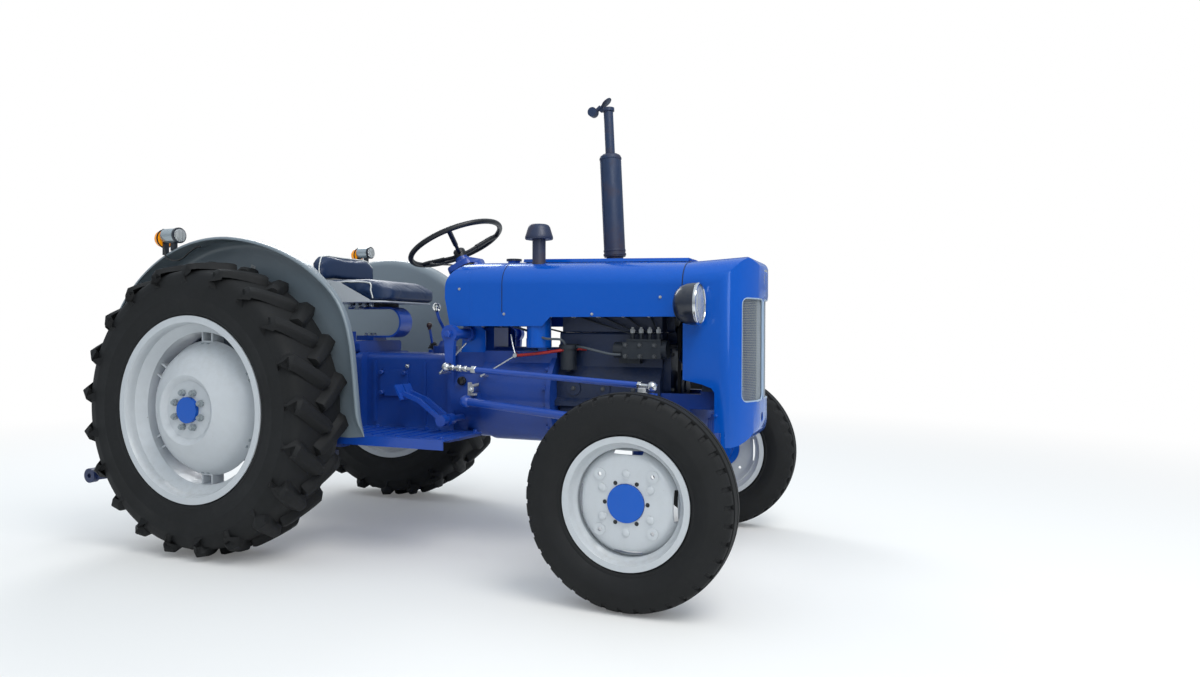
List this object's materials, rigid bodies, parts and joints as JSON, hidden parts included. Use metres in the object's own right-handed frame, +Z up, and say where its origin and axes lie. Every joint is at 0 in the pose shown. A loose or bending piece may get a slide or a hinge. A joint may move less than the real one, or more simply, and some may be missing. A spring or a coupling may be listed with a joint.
{
  "type": "farm tractor",
  "caption": "Vintage farm tractor with open engine, shell fenders, lugged rear tyres, upright exhaust, sprung seat and rear lift linkage, built as separate jointed parts.",
  "frame": {"origin": "on the ground under the middle of the overall box", "axes": "+X forward, +Y to the driver's left, +Z up"},
  "size_m": [3.125, 1.6044, 1.9633],
  "materials": {
    "painted_blue": "gloss",
    "painted_dark": "satin",
    "painted_white": "satin",
    "painted_grey": "satin",
    "tyre_rubber": "matte",
    "belt_rubber": "matte",
    "bare_steel": "satin",
    "seat_vinyl": "satin",
    "black_plastic": "gloss",
    "lamp_glass": "gloss"
  },
  "bodies": {
    "chassis": {"clutch_and_gearbox": "painted_blue", "rear_axle_case": "painted_blue", "lift_cover": "painted_blue", "engine_block": "painted_blue", "cylinder_head": "painted_blue", "exhaust_manifold": "painted_dark", "injection_pump": "painted_dark", "dynamo_and_starter": "painted_dark", "fan_belt": "belt_rubber", "radiator": "painted_dark", "front_support": "painted_blue", "front_axle": "painted_blue", "radius_rods": "painted_blue", "nose_shell": "painted_blue", "grille": "bare_steel", "bonnet": "painted_blue", "fuel_tank": "painted_blue", "dash_cowl": "painted_blue", "air_cleaner": "painted_blue", "exhaust_stack": "painted_dark", "steering_box": "painted_blue", "fenders": "painted_grey", "footboards": "painted_blue", "seat_frame": "painted_blue", "seat_cushion": "seat_vinyl", "seat_back": "seat_vinyl", "pedals": "painted_blue", "levers": "bare_steel", "lamps": "painted_dark", "lamp_glass": "lamp_glass", "drawbar": "painted_dark"},
    "wheel_rear_left": {"rear_tyre_left": "tyre_rubber", "rear_rim_left": "painted_white", "rear_hub_left": "painted_blue"},
    "wheel_rear_right": {"rear_tyre_right": "tyre_rubber", "rear_rim_right": "painted_white", "rear_hub_right": "painted_blue"},
    "wheel_front_left": {"front_tyre_left": "tyre_rubber", "front_rim_left": "painted_white", "front_hub_left": "painted_blue"},
    "wheel_front_right": {"front_tyre_right": "tyre_rubber", "front_rim_right": "painted_white", "front_hub_right": "painted_blue"},
    "steer_knuckle_left": {"knuckle_left": "painted_blue"},
    "steer_knuckle_right": {"knuckle_right": "painted_blue"},
    "drop_left": {"drop_arm_left": "painted_blue"},
    "drop_right": {"drop_arm_right": "painted_blue"},
    "link_left": {"drag_link_left": "painted_blue"},
    "link_right": {"drag_link_right": "painted_blue"},
    "hand_wheel": {"steering_wheel": "black_plastic"},
    "cooling_fan": {"fan": "painted_blue"},
    "cap": {"rain_cap": "painted_dark"},
    "flap": {"bonnet_flap": "painted_blue"},
    "arms": {"lift_arms": "painted_blue"},
    "rods": {"lift_rods": "bare_steel"},
    "links": {"lower_links": "painted_blue"},
    "pto": {"pto_shaft": "bare_steel"}
  },
  "joints": [
    {"name": "steer_right", "type": "hinge", "parent": "chassis", "child": "steer_knuckle_right", "pos_m": [1.1955, -0.538, 0.588], "axis": [0, 0, 1], "range_deg": [-32, 32]},
    {"name": "steer_left", "type": "hinge", "parent": "chassis", "child": "steer_knuckle_left", "pos_m": [1.1955, 0.538, 0.588], "axis": [0, 0, 1], "range_deg": [-32, 32]},
    {"name": "steering_wheel_turn", "type": "hinge", "parent": "chassis", "child": "hand_wheel", "pos_m": [0.1125, 0, 1.335], "axis": [-0.4226, 0, 0.9063], "range_deg": [-416, 416]},
    {"name": "drop_arm_right_swing", "type": "hinge", "parent": "chassis", "child": "drop_right", "pos_m": [0.2715, -0.296, 0.922], "axis": [0, 1, 0], "range_deg": [-28, 28]},
    {"name": "drop_arm_left_swing", "type": "hinge", "parent": "chassis", "child": "drop_left", "pos_m": [0.2715, 0.296, 0.922], "axis": [0, 1, 0], "range_deg": [-28, 28]},
    {"name": "drag_link_right_swing", "type": "hinge", "parent": "drop_right", "child": "link_right", "pos_m": [0.2715, -0.33, 0.784], "axis": [0, 1, 0], "range_deg": [-28, 28]},
    {"name": "drag_link_left_swing", "type": "hinge", "parent": "drop_left", "child": "link_left", "pos_m": [0.2715, 0.33, 0.784], "axis": [0, 1, 0], "range_deg": [-28, 28]},
    {"name": "front_wheel_left_spin", "type": "hinge", "parent": "steer_knuckle_left", "child": "wheel_front_left", "pos_m": [1.1955, 0.66, 0.367], "axis": [0, 1, 0], "continuous": true},
    {"name": "front_wheel_right_spin", "type": "hinge", "parent": "steer_knuckle_right", "child": "wheel_front_right", "pos_m": [1.1955, -0.66, 0.367], "axis": [0, 1, 0], "continuous": true},
    {"name": "rear_wheel_left_spin", "type": "hinge", "parent": "chassis", "child": "wheel_rear_left", "pos_m": [-0.6585, 0.66, 0.61], "axis": [0, 1, 0], "continuous": true},
    {"name": "rear_wheel_right_spin", "type": "hinge", "parent": "chassis", "child": "wheel_rear_right", "pos_m": [-0.6585, -0.66, 0.61], "axis": [0, 1, 0], "continuous": true},
    {"name": "fan_spin", "type": "hinge", "parent": "chassis", "child": "cooling_fan", "pos_m": [1.1965, 0, 0.918], "axis": [1, 0, 0], "continuous": true},
    {"name": "pto_spin", "type": "hinge", "parent": "chassis", "child": "pto", "pos_m": [-0.9585, 0, 0.56], "axis": [1, 0, 0], "continuous": true},
    {"name": "rain_cap_hinge", "type": "hinge", "parent": "chassis", "child": "cap", "pos_m": [0.7741, 0.124, 1.92423], "axis": [0, -1, 0], "range_deg": [-37, 22]},
    {"name": "bonnet_flap_hinge", "type": "hinge", "parent": "chassis", "child": "flap", "pos_m": [1.23645, 0, 1.22467], "axis": [0, 1, 0], "range_deg": [0, 75]},
    {"name": "lift_arms_raise", "type": "hinge", "parent": "chassis", "child": "arms", "pos_m": [-0.7785, 0, 0.872], "axis": [0, 1, 0], "range_deg": [-8, 45]},
    {"name": "lower_links_raise", "type": "hinge", "parent": "chassis", "child": "links", "pos_m": [-0.6785, 0, 0.372], "axis": [0, 1, 0], "range_deg": [-5, 27]},
    {"name": "lift_rods_swing", "type": "hinge", "parent": "arms", "child": "rods", "pos_m": [-1.0035, 0, 0.812], "axis": [0, 1, 0], "range_deg": [-46, 9]}
  ],
  "couplings": [
    {"joint": "steer_left", "follows": "steer_right", "ratio": 1},
    {"joint": "steering_wheel_turn", "follows": "steer_right", "ratio": 13},
    {"joint": "drop_arm_right_swing", "follows": "steer_right", "ratio": 0.855},
    {"joint": "drop_arm_left_swing", "follows": "steer_right", "ratio": -0.855},
    {"joint": "drag_link_right_swing", "follows": "steer_right", "ratio": -0.855},
    {"joint": "drag_link_left_swing", "follows": "steer_right", "ratio": 0.855},
    {"joint": "lower_links_raise", "follows": "lift_arms_raise", "ratio": 0.58},
    {"joint": "lift_rods_swing", "follows": "lift_arms_raise", "ratio": -0.985}
  ]
}
